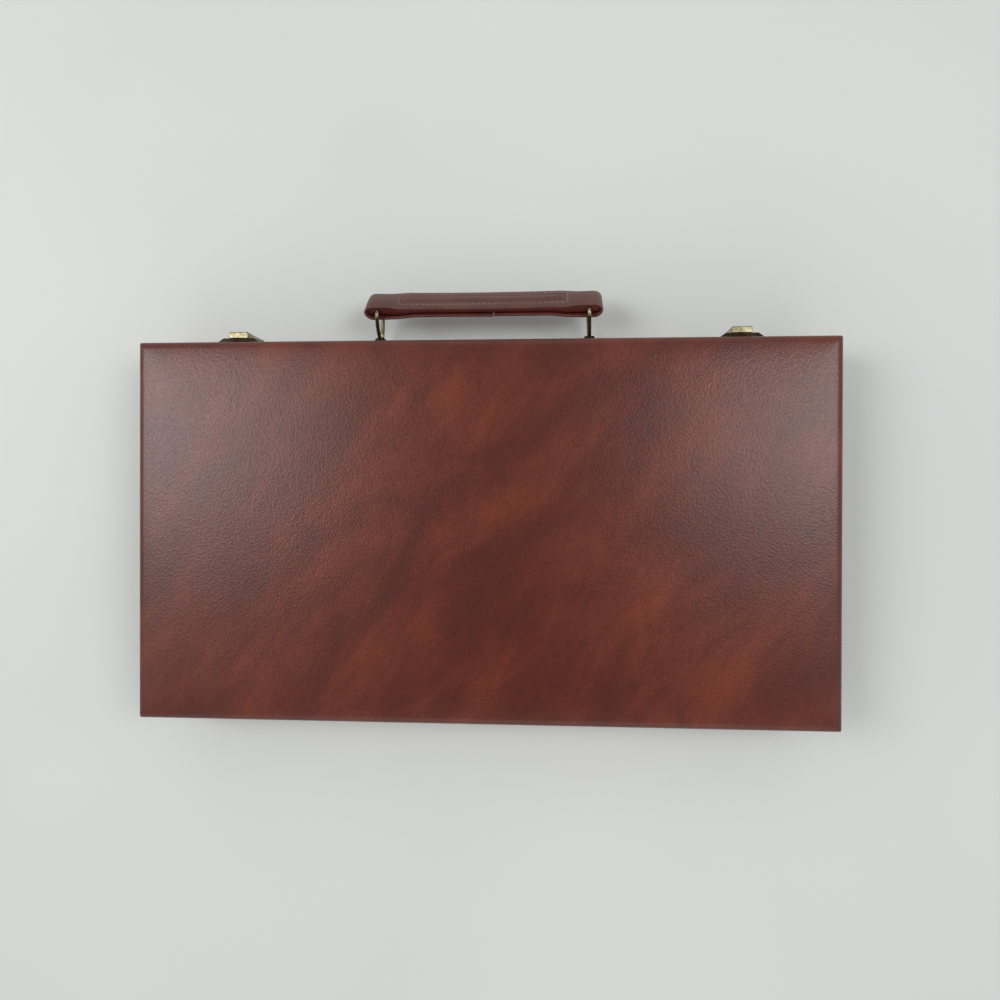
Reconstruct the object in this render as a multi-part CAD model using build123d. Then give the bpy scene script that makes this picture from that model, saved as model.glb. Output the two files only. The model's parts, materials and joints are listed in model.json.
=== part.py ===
from build123d import *
import math
import os

# Rummy tile game set in a leatherette covered attache case, closed, lying on its base.
# Millimetres. Origin at the centre of the underside. X runs along the case, +Y points out
# of the front wall that carries the handle and the latches, and +Z is up.

# Case outside
case_length = 380.0
case_depth = 208.0
base_height = 30.0
lid_height = 18.0
seam_gap = 0.3

# Case shell
wall_board = 6.0
panel_board = 3.0
covering = 0.8
lining = 0.7
lid_foam = 3.5
lid_edge_radius = 4.0

# Rear hinges
hinge_spacing = 250.0
hinge_length = 32.0
leaf_height = 9.5
leaf_sheet = 0.8
leaf_corner = 2.0
leaf_screw_inset = 6.0
leaf_screw_height = 5.7
knuckle_radius = 1.7
knuckle_standoff = 2.1
knuckle_gap = 0.2
hinge_pin_radius = 0.8
hinge_pin_rim = 0.5
hinge_pin_head = 0.8

# Latches
latch_spacing = 275.0
latch_shift = 1.7
latch_width = 25.4
latch_crest_width = 17.2
latch_proud = 2.8
latch_sheet = 0.8
latch_plate_height = 18.0
plate_rivet_inset = 3.4
keeper_height = 8.5
latch_seam_margin = 1.5
lever_width = 11.0
lever_depth = 3.3
lever_sheet = 0.8
lever_clearance = 0.3
lever_above_seam = 10.0
lever_pivot_below_seam = 12.0
lever_edge_radius = 1.0
lever_tip_radius = 0.6
lug_wall = 0.6
lug_clearance = 0.1
lever_mouth_margin = 0.6
latch_pin_radius = 0.8
latch_pin_rim = 0.4
latch_pin_head = 0.5
latch_spring_sheet = 0.3
latch_spring_width = 5.0
spring_seat_inset = 1.8
spring_bend_height = 6.0
spring_nose_height = 1.1

# Handle and its rings
handle_length = 133.0
handle_width = 20.0
handle_end_width = 16.8
handle_neck_inset = 9.0
handle_neck_slope = 8.0
handle_shift = -0.4
handle_ply = 1.4
handle_raised = 40.0
handle_seam_gap = 0.3
handle_seam_offset = 6.0
grip_height = 7.5
grip_crown = 2.8
crown_cover = 0.4
loop_height = 9.6
bar_spacing = 117.6
bar_lift = 0.3
ring_spacing = 121.0
ring_shift = -1.0
ring_wire = 2.2
ring_arc_radius = 4.5
ring_reach = 23.3
ring_half_bar = 11.0
ring_spread = 24.0
ring_shoulder = 15.0
ring_corner = 2.5
ring_play = 0.4
swing_height = 15.0

# Ring plates
ring_plate_length = 17.0
ring_plate_height = 9.0
ring_plate_sheet = 1.0
ring_plate_corner = 4.0
staple_width = 6.0
staple_band = 2.0
staple_sheet = 1.0
staple_proud = 7.1

# Fastenings
screw_radius = 1.1
screw_head_radius = 1.8
rivet_radius = 0.7
rivet_head_radius = 1.1
head_height = 0.8
head_round = 0.55
fixing_depth = 4.6
running_clearance = 0.05
seat_clearance = 0.02

# Tiles
tile_width = 24.0
tile_length = 36.0
tile_thickness = 5.0
tile_gap = 0.5
tile_columns = 14
tile_corner = 1.5
tile_edge = 0.6
tile_colours = ("black", "blue", "orange", "red")

# Tile well and racks
divider_board = 3.0
divider_height = 21.5
well_clearance = 0.3
rack_length = 356.0
rack_sheet = 1.6
rack_draft = 14.0
rack_ridge = 5.0
rack_groove = 9.0
rack_ridge_heights = (10.0, 13.0, 16.0)
rack_groove_heights = (3.2, 5.0)
rack_nest_clearance = 0.1

# Levels and faces that follow from the sizes above
front_face = case_depth / 2
rear_face = -case_depth / 2
half_length = case_length / 2
base_top = base_height - seam_gap / 2
lid_bottom = base_height + seam_gap / 2
lid_top = base_height + lid_height
floor_top = covering + panel_board
lined_floor = floor_top + lining
board_half_length = half_length - covering
board_half_depth = front_face - covering
inner_half_length = board_half_length - wall_board
inner_half_depth = board_half_depth - wall_board
lined_half_length = inner_half_length - lining
lined_half_depth = inner_half_depth - lining
foam_top = lid_top - covering
lid_board_top = foam_top - lid_foam
lid_board_bottom = lid_board_top - panel_board
hinge_z = base_height
hinge_y = rear_face - knuckle_standoff
swing_y = front_face + staple_proud - staple_sheet - ring_play - ring_wire / 2 + ring_arc_radius
ring_x = (ring_shift - ring_spacing / 2, ring_shift + ring_spacing / 2)
bar_x = (handle_shift - bar_spacing / 2, handle_shift + bar_spacing / 2)
latch_x = (latch_shift - latch_spacing / 2, latch_shift + latch_spacing / 2)
hinge_x = (-hinge_spacing / 2, hinge_spacing / 2)
sides = ("left", "right")


def block(x_range, y_range, z_range):
    """A box between two corners, each axis given as (low, high)."""
    ranges = (x_range, y_range, z_range)
    size = [high - low for low, high in ranges]
    centre = [(high + low) / 2 for low, high in ranges]
    return Pos(*centre) * Box(*size)


def rod(start, direction, radius, length):
    """A cylinder from start along direction."""
    plane = Plane(origin=start, z_dir=direction)
    return plane * Cylinder(radius, length, align=(Align.CENTER, Align.CENTER, Align.MIN))


def outline_face(points):
    """A face inside an outline, turned so that its normal points along +Z of its plane."""
    ring_of_points = zip(points, points[1:] + points[:1])
    doubled_area = sum(ax * by - bx * ay for (ax, ay), (bx, by) in ring_of_points)
    ordered = points if doubled_area > 0 else points[::-1]
    return Polygon(*ordered, align=None)


def along_x(points, x_range):
    """A prism of an outline of (y, z) points between two X positions."""
    outline = Plane.YZ.offset(x_range[0]) * outline_face(points)
    return extrude(outline, amount=x_range[1] - x_range[0])


def along_z(points, z_range):
    """A prism of an outline of (x, y) points between two heights."""
    outline = Pos(0, 0, z_range[0]) * outline_face(points)
    return extrude(outline, amount=z_range[1] - z_range[0])


def sheet_outline(line, thickness):
    """The outline of a bent sheet: an open line and its mitred copy on the right."""
    offset = []
    for i, (px, py) in enumerate(line):
        before = line[max(i - 1, 0)]
        after = line[min(i + 1, len(line) - 1)]
        normals = []
        for start, end in ((before, (px, py)), ((px, py), after)):
            run = math.hypot(end[0] - start[0], end[1] - start[1])
            if run > 0:
                normals.append(((end[1] - start[1]) / run, (start[0] - end[0]) / run))
        sum_x = sum(n[0] for n in normals)
        sum_y = sum(n[1] for n in normals)
        scale = thickness * len(normals) / (sum_x**2 + sum_y**2)
        offset.append((px + sum_x * scale, py + sum_y * scale))
    return list(line) + offset[::-1]


def fixing(x, z, face, outward, seat, radius, head_radius):
    """A fastener in the front or rear wall whose head sits on a plate `seat` mm proud."""
    direction = (0, outward, 0)
    shank_length = seat + covering + fixing_depth
    tip = (x, face - outward * (shank_length - seat), z)
    head_foot = (x, face + outward * seat, z)
    shank = rod(tip, direction, radius, shank_length)
    head = rod(head_foot, direction, head_radius, head_height)
    rim = head.edges().filter_by(GeomType.CIRCLE).sort_by(Axis.Y)
    outer_rim = rim[-1] if outward > 0 else rim[0]
    return shank + fillet(outer_rim, head_round)


def fixing_holes(places, face, outward, radius):
    """The holes of a set of fasteners, through plate, covering and board."""
    deep = covering + fixing_depth + seat_clearance
    reach = deep + latch_proud
    holes = []
    for x, z in places:
        start = (x, face - outward * deep, z)
        holes.append(rod(start, (0, outward, 0), radius + running_clearance, reach))
    return holes


def cut_all(solid, tools):
    for tool in tools:
        solid = solid - tool
    return solid


# Places of the fastenings, as (x, z) on the front or rear wall
leaf_screw_offset = hinge_length / 2 - leaf_screw_inset
rivet_offset = (lever_width / 2 + latch_crest_width / 2) / 2
ring_rivet_offset = (staple_width / 2 + ring_plate_length / 2) / 2
plate_top = base_height - latch_seam_margin
plate_bottom = plate_top - latch_plate_height
keeper_bottom = base_height + latch_seam_margin
keeper_top = keeper_bottom + keeper_height

base_screw_places = [(x + dx, hinge_z - leaf_screw_height)
                     for x in hinge_x for dx in (-leaf_screw_offset, leaf_screw_offset)]
lid_screw_places = [(x + dx, hinge_z + leaf_screw_height)
                    for x in hinge_x for dx in (-leaf_screw_offset, leaf_screw_offset)]
latch_rivet_places = [(x + dx, z) for x in latch_x for dx in (-rivet_offset, rivet_offset)
                      for z in (plate_bottom + plate_rivet_inset, plate_top - plate_rivet_inset)]
keeper_rivet_places = [(x + dx, (keeper_bottom + keeper_top) / 2)
                       for x in latch_x for dx in (-rivet_offset, rivet_offset)]
ring_rivet_places = [(x + dx, swing_height)
                     for x in ring_x for dx in (-ring_rivet_offset, ring_rivet_offset)]


def front_base_holes():
    return fixing_holes(latch_rivet_places + ring_rivet_places, front_face, 1, rivet_radius)


def rear_base_holes():
    return fixing_holes(base_screw_places, rear_face, -1, screw_radius)


def base_shell():
    """Floor and wall boards of the base with their covering and lining."""
    board_x = (-board_half_length, board_half_length)
    board_y = (-board_half_depth, board_half_depth)
    inner_x = (-inner_half_length, inner_half_length)
    inner_y = (-inner_half_depth, inner_half_depth)
    lined_x = (-lined_half_length, lined_half_length)
    lined_y = (-lined_half_depth, lined_half_depth)
    outer_x = (-half_length, half_length)
    outer_y = (rear_face, front_face)
    wall_z = (floor_top, base_top - covering)
    side_covering = block(outer_x, outer_y, (covering, base_top))
    side_covering -= block(board_x, board_y, (covering, base_top - covering))
    side_covering -= block(lined_x, lined_y, (covering, base_top))
    front_board = block(board_x, (inner_half_depth, board_half_depth), wall_z)
    rear_board = block(board_x, (-board_half_depth, -inner_half_depth), wall_z)
    wall_lining = block(inner_x, inner_y, (lined_floor, base_top - covering))
    wall_lining -= block(lined_x, lined_y, (lined_floor, base_top - covering))
    return {
        "base_bottom_covering": block(outer_x, outer_y, (0, covering)),
        "base_floor_board": block(board_x, board_y, (covering, floor_top)),
        "base_side_covering": cut_all(side_covering, front_base_holes() + rear_base_holes()),
        "base_front_board": cut_all(front_board, front_base_holes()),
        "base_rear_board": cut_all(rear_board, rear_base_holes()),
        "base_left_board": block((-board_half_length, -inner_half_length), inner_y, wall_z),
        "base_right_board": block((inner_half_length, board_half_length), inner_y, wall_z),
        "base_floor_lining": block(inner_x, inner_y, (floor_top, lined_floor)),
        "base_wall_lining": wall_lining,
    }


def rounded_top_block(half_x, half_y, z_range, radius):
    """A box with its top rim and its upright corners rounded over."""
    solid = block((-half_x, half_x), (-half_y, half_y), z_range)
    top_edges = solid.edges().group_by(Axis.Z)[-1]
    return fillet(top_edges, radius)


def lid_shell():
    """Boards of the lid, the foam on its top, and the covering and lining."""
    board_x = (-board_half_length, board_half_length)
    board_y = (-board_half_depth, board_half_depth)
    inner_x = (-inner_half_length, inner_half_length)
    inner_y = (-inner_half_depth, inner_half_depth)
    lined_x = (-lined_half_length, lined_half_length)
    lined_y = (-lined_half_depth, lined_half_depth)
    wall_z = (lid_bottom + covering, lid_board_bottom)
    inner_radius = lid_edge_radius - covering
    skin = rounded_top_block(half_length, front_face, (lid_bottom, lid_top), lid_edge_radius)
    skin -= rounded_top_block(board_half_length, board_half_depth,
                              (lid_bottom + covering, foam_top), inner_radius)
    skin -= block(lined_x, lined_y, (lid_bottom, lid_bottom + covering))
    foam = rounded_top_block(board_half_length, board_half_depth,
                             (lid_board_top, foam_top), inner_radius)
    front_holes = fixing_holes(keeper_rivet_places, front_face, 1, rivet_radius)
    rear_holes = fixing_holes(lid_screw_places, rear_face, -1, screw_radius)
    front_board = block(board_x, (inner_half_depth, board_half_depth), wall_z)
    rear_board = block(board_x, (-board_half_depth, -inner_half_depth), wall_z)
    tray = block(inner_x, inner_y, (lid_bottom + covering, lid_board_bottom))
    tray -= block(lined_x, lined_y, (lid_bottom + covering, lid_board_bottom - lining))
    return {
        "lid_covering": cut_all(skin, front_holes + rear_holes),
        "lid_foam_pad": foam,
        "lid_top_board": block(board_x, board_y, (lid_board_bottom, lid_board_top)),
        "lid_front_board": cut_all(front_board, front_holes),
        "lid_rear_board": cut_all(rear_board, rear_holes),
        "lid_left_board": block((-board_half_length, -inner_half_length), inner_y, wall_z),
        "lid_right_board": block((inner_half_length, board_half_length), inner_y, wall_z),
        "lid_lining": tray,
    }


def hinge_leaf(x, upward):
    """One leaf: the lid's leaf points up and has the middle knuckle."""
    half = hinge_length / 2
    middle = hinge_length / 6
    own = [(-middle, middle)] if upward else [(-half, -middle), (middle, half)]
    other = [(-half, -middle), (middle, half)] if upward else [(-middle, middle)]
    near = hinge_z + (seam_gap / 2 if upward else -seam_gap / 2)
    far = hinge_z + (leaf_height if upward else -leaf_height)
    leaf = block((x - half, x + half), (rear_face - leaf_sheet, rear_face),
                 (min(near, far), max(near, far)))
    corner_edges = leaf.edges().filter_by(Axis.Y).group_by(Axis.Z)[-1 if upward else 0]
    leaf = fillet(corner_edges, leaf_corner)
    play = knuckle_gap / 2
    notch = knuckle_radius + knuckle_gap
    for low, high in own:
        start = (x + low + play, hinge_y, hinge_z)
        leaf += rod(start, (1, 0, 0), knuckle_radius, high - low - 2 * play)
    for low, high in other:
        leaf -= block((x + low - play, x + high + play), (rear_face - knuckle_standoff, rear_face),
                      (hinge_z - notch, hinge_z + notch))
    clearance = running_clearance if upward else seat_clearance
    leaf -= rod((x - half, hinge_y, hinge_z), (1, 0, 0), hinge_pin_radius + clearance, 2 * half)
    places = lid_screw_places if upward else base_screw_places
    return cut_all(leaf, fixing_holes(places, rear_face, -1, screw_radius))


def hinge_pin(x):
    half = hinge_length / 2
    head_radius = hinge_pin_radius + hinge_pin_rim
    pin = rod((x - half, hinge_y, hinge_z), (1, 0, 0), hinge_pin_radius, hinge_length)
    pin += rod((x - half, hinge_y, hinge_z), (-1, 0, 0), head_radius, hinge_pin_head)
    return pin + rod((x + half, hinge_y, hinge_z), (1, 0, 0), head_radius, hinge_pin_head)


def hinges():
    nodes = {}
    for side, x in zip(sides, hinge_x):
        nodes[f"hinge_{side}_base_leaf"] = hinge_leaf(x, False)
        nodes[f"hinge_{side}_lid_leaf"] = hinge_leaf(x, True)
        nodes[f"hinge_{side}_pin"] = hinge_pin(x)
    screw = (leaf_sheet, screw_radius, screw_head_radius)
    nodes["hinge_base_screws"] = [fixing(x, z, rear_face, -1, *screw) for x, z in base_screw_places]
    nodes["hinge_lid_screws"] = [fixing(x, z, rear_face, -1, *screw) for x, z in lid_screw_places]
    return nodes


# The latch lever lies just clear of the plate's crest and turns about a pin near its foot
lever_back = front_face + latch_proud + lever_clearance
lever_front = lever_back + lever_depth
pivot_y = (lever_back + lever_front) / 2
pivot_z = base_height - lever_pivot_below_seam
lever_tip = base_height + lever_above_seam
lever_foot_radius = lever_depth / 2
lug_radius = latch_pin_radius + lug_wall


def pressed_plate(x, z_range):
    """A pressed plate with sloping shoulders and a hollow back."""
    run = (latch_width - latch_crest_width) / 2 / latch_proud
    inner_foot = latch_width / 2 - latch_sheet * math.hypot(1, run)
    inner_crest = inner_foot - (latch_proud - latch_sheet) * run
    rise = latch_proud - latch_sheet
    outer = [(x - latch_width / 2, front_face), (x - latch_crest_width / 2, front_face + latch_proud),
             (x + latch_crest_width / 2, front_face + latch_proud), (x + latch_width / 2, front_face)]
    inner = [(x - inner_foot, front_face), (x - inner_crest, front_face + rise),
             (x + inner_crest, front_face + rise), (x + inner_foot, front_face)]
    hollow = (z_range[0] + latch_sheet, z_range[1] - latch_sheet)
    return along_z(outer, z_range) - along_z(inner, hollow)


def latch_plate(x):
    """The plate on the base, with two lugs that carry the lever's pin."""
    plate = pressed_plate(x, (plate_bottom, plate_top))
    lug_outer = lever_width / 2 - lever_sheet - lug_clearance
    for sign in (-1, 1):
        lug_x = sorted((x + sign * (lug_outer - latch_sheet), x + sign * lug_outer))
        foot_y = (front_face + latch_proud - latch_sheet / 2, pivot_y)
        plate += block(lug_x, foot_y, (pivot_z - lug_radius, pivot_z + lug_radius))
        plate += rod((lug_x[0], pivot_y, pivot_z), (1, 0, 0), lug_radius, latch_sheet)
    bore_radius = latch_pin_radius + seat_clearance
    plate -= rod((x - lug_outer - 1, pivot_y, pivot_z), (1, 0, 0), bore_radius, 2 * lug_outer + 2)
    return cut_all(plate, fixing_holes(latch_rivet_places, front_face, 1, rivet_radius))


def latch_lever(x):
    """A box channel, open at the back, with a closed tip and two round feet."""
    half = lever_width / 2
    body = block((x - half, x + half), (lever_back, lever_front), (pivot_z, lever_tip))
    long_edges = body.edges().filter_by(Axis.Z).group_by(Axis.Y)[-1]
    body = fillet(long_edges, lever_edge_radius)
    tip_edges = body.faces().sort_by(Axis.Z)[-1].edges().sort_by(Axis.Y)[-3:]
    body = fillet(tip_edges, lever_tip_radius)
    body += rod((x - half, pivot_y, pivot_z), (1, 0, 0), lever_foot_radius, lever_width)
    inner = half - lever_sheet
    body -= block((x - inner, x + inner), (lever_back, lever_front - lever_sheet),
                  (pivot_z - lever_depth, lever_tip - lever_sheet))
    body -= block((x - inner, x + inner), (lever_back, lever_front + 1),
                  (pivot_z - lever_depth, pivot_z + lug_radius + lever_mouth_margin))
    bore_radius = latch_pin_radius + running_clearance
    return body - rod((x - half, pivot_y, pivot_z), (1, 0, 0), bore_radius, lever_width)


def latch_pin(x):
    half = lever_width / 2 + running_clearance
    head_radius = latch_pin_radius + latch_pin_rim
    pin = rod((x - half, pivot_y, pivot_z), (1, 0, 0), latch_pin_radius, 2 * half)
    pin += rod((x - half, pivot_y, pivot_z), (-1, 0, 0), head_radius, latch_pin_head)
    return pin + rod((x + half, pivot_y, pivot_z), (1, 0, 0), head_radius, latch_pin_head)


def latch_spring(x):
    """A leaf spring that lies on the plate and bears on the inside of the lever."""
    crest = front_face + latch_proud
    rise = lever_front - lever_sheet - running_clearance
    foot_z = plate_top - spring_seat_inset
    bend_z = pivot_z + spring_bend_height
    nose_z = pivot_z + lug_radius + spring_nose_height
    line = [(crest, foot_z), (crest, bend_z), (rise - 2 * latch_spring_sheet, nose_z)]
    outline = sheet_outline(line, -latch_spring_sheet)
    half = latch_spring_width / 2
    return along_x(outline, (x - half, x + half))


def latches():
    nodes = {}
    for side, x in zip(sides, latch_x):
        keeper = pressed_plate(x, (keeper_bottom, keeper_top))
        keeper_holes = fixing_holes(keeper_rivet_places, front_face, 1, rivet_radius)
        nodes[f"latch_{side}_plate"] = latch_plate(x)
        nodes[f"latch_{side}_lever"] = latch_lever(x)
        nodes[f"latch_{side}_pin"] = latch_pin(x)
        nodes[f"latch_{side}_spring"] = latch_spring(x)
        nodes[f"keeper_{side}"] = cut_all(keeper, keeper_holes)
    rivet = (latch_proud, rivet_radius, rivet_head_radius)
    nodes["latch_rivets"] = [fixing(x, z, front_face, 1, *rivet) for x, z in latch_rivet_places]
    nodes["keeper_rivets"] = [fixing(x, z, front_face, 1, *rivet) for x, z in keeper_rivet_places]
    return nodes


def ring_plate(x):
    """A small plate with a staple across the ring's wire."""
    half = ring_plate_length / 2
    z_range = (swing_height - ring_plate_height / 2, swing_height + ring_plate_height / 2)
    plate = block((x - half, x + half), (front_face, front_face + ring_plate_sheet), z_range)
    plate = fillet(plate.edges().filter_by(Axis.Y), ring_plate_corner)
    band_z = (swing_height - staple_band / 2, swing_height + staple_band / 2)
    half_staple = staple_width / 2
    staple = block((x - half_staple, x + half_staple), (front_face, front_face + staple_proud), band_z)
    crown = staple.edges().filter_by(Axis.Z).group_by(Axis.Y)[-1]
    staple = fillet(crown, staple_sheet)
    inner = half_staple - staple_sheet
    staple -= block((x - inner, x + inner),
                    (front_face, front_face + staple_proud - staple_sheet), band_z)
    plate += staple
    return cut_all(plate, fixing_holes(ring_rivet_places, front_face, 1, rivet_radius))


# The handle is drawn lying straight out from the wall, in x and the distance from the swing
# axis, and is then swung up to the angle at which it rests
bar_reach = ring_reach - ring_arc_radius
loop_low = bar_reach - loop_height / 2 - bar_lift
grip_top = loop_low + loop_height
grip_low = grip_top - grip_height


def swung(solid):
    """A piece of the handle, turned up about the swing axis."""
    swing = Pos(0, swing_y, swing_height) * Rot(handle_raised, 0, 0)
    return swing * solid


def ring(staple_x, end_x):
    """A wire loop: a round end in the staple, spreading legs and a straight bar in the handle."""
    lean = end_x - staple_x
    leaning = Plane(origin=(staple_x, -ring_arc_radius, 0), x_dir=(lean, ring_reach, 0),
                    z_dir=(ring_reach, -lean, 0))
    spread = math.radians(ring_spread)
    foot = (ring_arc_radius * (1 - math.sin(spread)), ring_arc_radius * math.cos(spread))
    shoulder = (ring_shoulder, foot[1] + (ring_shoulder - foot[0]) * math.tan(spread))
    bar_end = (math.hypot(lean, ring_reach), ring_half_bar)
    upper = [foot, shoulder, bar_end]
    lower = [(reach, -across) for reach, across in upper]
    with BuildLine(leaning) as path:
        FilletPolyline(*(upper + lower[::-1]), radius=ring_corner)
        ThreePointArc(lower[0], (0, 0), upper[0])
    start = path.wires()[0] @ 0
    tangent = path.wires()[0] % 0
    section = Plane(origin=start, z_dir=tangent) * Circle(ring_wire / 2)
    return sweep(section, path=path.wires()[0])


def handle_outline(inset):
    """The side view of the handle, drawn in by `inset` all round."""
    end_radius = loop_height / 2 - inset
    centre_y = loop_low + loop_height / 2
    reach = handle_length / 2 - loop_height / 2
    top = grip_top - inset
    bottom = loop_low + inset
    with BuildSketch() as outline:
        with BuildLine():
            Line((-reach, top), (reach, top))
            ThreePointArc((reach, top), (reach + end_radius, centre_y), (reach, bottom))
            ThreePointArc((reach, bottom), (0, grip_low + inset), (-reach, bottom))
            ThreePointArc((-reach, bottom), (-reach - end_radius, centre_y), (-reach, top))
        make_face()
    return outline.sketch


def crown_prism(half, top):
    """A long prism whose upper face is crowned across the handle's width."""
    shoulder = top - grip_crown
    low = loop_low - 1
    with BuildSketch(Plane.YZ.offset(-handle_length)) as section:
        with BuildLine():
            Line((shoulder, -half), (low, -half))
            Line((low, -half), (low, half))
            Line((low, half), (shoulder, half))
            ThreePointArc((shoulder, half), (top + crown_cover, 0), (shoulder, -half))
        make_face()
    return extrude(section.sketch, amount=2 * handle_length, dir=(1, 0, 0))


def handle_solid(inset, width_inset):
    """The handle's outline, given its width: narrower where it goes round the bars."""
    half = handle_width / 2 - width_inset
    end_half = handle_end_width / 2 - width_inset
    tall = Pos(0, 0, -half) * extrude(handle_outline(inset), amount=2 * half, dir=(0, 0, 1))
    neck = bar_spacing / 2 - handle_neck_inset
    shoulder = neck - handle_neck_slope
    tip = handle_length / 2 + 1.0
    right = [(neck, end_half), (tip, end_half), (tip, -end_half), (neck, -end_half)]
    plan = [(-shoulder, half), (shoulder, half)] + right + [(shoulder, -half), (-shoulder, -half)]
    plan += [(-x, z) for x, z in right[::-1]]
    waist = Plane.XZ.offset(-loop_low - loop_height - 1) * outline_face(plan)
    waist = extrude(waist, amount=loop_height + 2)
    return tall & waist & crown_prism(half, grip_top - inset)


def handle():
    """The two rings, the folded strap and the padding that it is stitched round."""
    rings = [ring(staple, bar) for staple, bar in zip(ring_x, bar_x)]
    outer = handle_solid(0, 0)
    core = handle_solid(handle_ply, handle_ply)
    bars = [rod((x - handle_shift, bar_reach, -handle_width), (0, 0, 1),
                ring_wire / 2 + running_clearance, 2 * handle_width) for x in bar_x]
    slit_x = (handle_seam_offset, handle_seam_offset + handle_seam_gap)
    slit = block(slit_x, (loop_low - 1, grip_low + handle_ply), (-handle_width, handle_width))
    strap = cut_all(outer - core, bars + [slit])
    core = cut_all(core, bars)
    place = Pos(handle_shift, 0, 0)
    nodes = {f"ring_{side}": swung(solid) for side, solid in zip(sides, rings)}
    nodes["handle_strap"] = swung(place * strap)
    nodes["handle_core"] = swung(place * core)
    for side, x in zip(sides, ring_x):
        nodes[f"ring_plate_{side}"] = ring_plate(x)
    rivet = (ring_plate_sheet, rivet_radius, rivet_head_radius)
    nodes["ring_plate_rivets"] = [fixing(x, z, front_face, 1, *rivet) for x, z in ring_rivet_places]
    return nodes


# The tile well runs along the middle of the base, with a rack well on each side of it
pitch_x = tile_width + tile_gap
pitch_y = tile_length + tile_gap
well_half_length = tile_columns * pitch_x / 2 + well_clearance
well_half_depth = pitch_y + well_clearance
divider_outer = well_half_depth + divider_board


def one_tile():
    tile = Box(tile_width, tile_length, tile_thickness, align=(Align.CENTER, Align.CENTER, Align.MIN))
    tile = fillet(tile.edges().filter_by(Axis.Z), tile_corner)
    rims = tile.faces().filter_by(Axis.Z).edges()
    return fillet(rims, tile_edge)


def tile_place(column, row, layer):
    x = (column - (tile_columns - 1) / 2) * pitch_x
    y = row * pitch_y / 2
    return Pos(x, y, lined_floor + seat_clearance + layer * (tile_thickness + seat_clearance))


def contents():
    """Well dividers and end blocks, 104 numbered tiles and 2 jokers in layers."""
    well_z = (lined_floor, lined_floor + divider_height)
    full_x = (-lined_half_length, lined_half_length)
    well_y = (-well_half_depth, well_half_depth)
    nodes = {
        "divider_front": block(full_x, (well_half_depth, divider_outer), well_z),
        "divider_rear": block(full_x, (-divider_outer, -well_half_depth), well_z),
        "tile_well_ends": [block((-lined_half_length, -well_half_length), well_y, well_z),
                           block((well_half_length, lined_half_length), well_y, well_z)],
    }
    tile = one_tile()
    for layer, colour in enumerate(tile_colours):
        nodes[f"tiles_{colour}"] = [tile_place(column, row, layer) * tile
                                    for row in (1, -1) for column in range(tile_columns - 1)]
    nodes["joker_tiles"] = [tile_place(tile_columns - 1, row, 0) * tile for row in (1, -1)]
    return nodes


def rack_line():
    """The upper line of a rack's section: a foot, then ridges and grooves in turn."""
    slope = math.tan(math.radians(rack_draft))
    levels = [rack_ridge_heights[0]]
    for groove, ridge in zip(rack_groove_heights, rack_ridge_heights[1:]):
        levels += [groove, ridge]
    line = [(0.0, 0.0)]
    for i, level in enumerate(levels):
        y, z = line[-1]
        foot = (y + abs(level - z) * slope, level)
        flat = rack_ridge if i % 2 == 0 else rack_groove
        line += [foot, (foot[0] + flat, level)]
    y, z = line[-1]
    line.append((y + z * slope, 0.0))
    return line


def racks():
    """Two pairs of tile racks, each pair nested one on the other."""
    line = rack_line()
    depth = line[-1][0]
    outline = [(y - depth / 2, z) for y, z in sheet_outline(line, rack_sheet)]
    draft = math.radians(rack_draft)
    nest = (rack_sheet / math.cos(draft) + rack_nest_clearance) / math.tan(draft)
    lip = rack_sheet * math.sin(draft)
    base_z = lined_floor
    well_middle = (divider_outer + lined_half_depth) / 2
    nodes = {}
    for index in range(4):
        side = 1 if index < 2 else -1
        lift = base_z + (index % 2) * nest
        section = [(side * (well_middle - y), z + lift) for y, z in outline]
        solid = along_x(section, (-rack_length / 2, rack_length / 2))
        floor_cut = block((-rack_length, rack_length), (-case_depth, case_depth),
                          (lift - 2 * lip, lift))
        nodes[f"rack_{index + 1}"] = solid - floor_cut
    return nodes


def write(nodes):
    os.makedirs("parts", exist_ok=True)
    for name, shape in nodes.items():
        pieces = shape if isinstance(shape, list) else [shape]
        solids = [solid for piece in pieces for solid in piece.solids()]
        export_step(Compound(children=solids) if len(solids) > 1 else solids[0], f"parts/{name}.step")


write(base_shell())
write(lid_shell())
write(hinges())
write(latches())
write(handle())
write(contents())
write(racks())
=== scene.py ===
import bmesh
import bpy
import json
import math
from mathutils import Matrix, Vector, noise


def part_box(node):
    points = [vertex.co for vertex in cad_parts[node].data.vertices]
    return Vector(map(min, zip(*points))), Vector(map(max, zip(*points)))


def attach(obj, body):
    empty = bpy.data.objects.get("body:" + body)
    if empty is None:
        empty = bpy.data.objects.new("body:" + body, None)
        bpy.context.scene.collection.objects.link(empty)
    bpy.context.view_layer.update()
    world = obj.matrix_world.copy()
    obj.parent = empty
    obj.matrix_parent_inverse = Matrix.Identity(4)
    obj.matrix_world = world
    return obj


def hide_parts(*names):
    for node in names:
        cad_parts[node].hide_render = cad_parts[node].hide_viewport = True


# Visual model of the rummy tile case. Lengths are written in millimetres times mm, except for the
# floor, the lamps and the camera, which are in metres.

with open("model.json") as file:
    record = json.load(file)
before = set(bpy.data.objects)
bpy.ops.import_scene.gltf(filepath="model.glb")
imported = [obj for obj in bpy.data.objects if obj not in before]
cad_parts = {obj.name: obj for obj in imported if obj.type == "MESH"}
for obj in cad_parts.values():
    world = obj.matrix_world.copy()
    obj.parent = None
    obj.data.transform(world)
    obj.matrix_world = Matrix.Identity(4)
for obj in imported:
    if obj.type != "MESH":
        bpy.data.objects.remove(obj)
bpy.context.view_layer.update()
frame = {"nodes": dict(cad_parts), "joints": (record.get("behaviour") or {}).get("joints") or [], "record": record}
mm = 0.001

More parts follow.
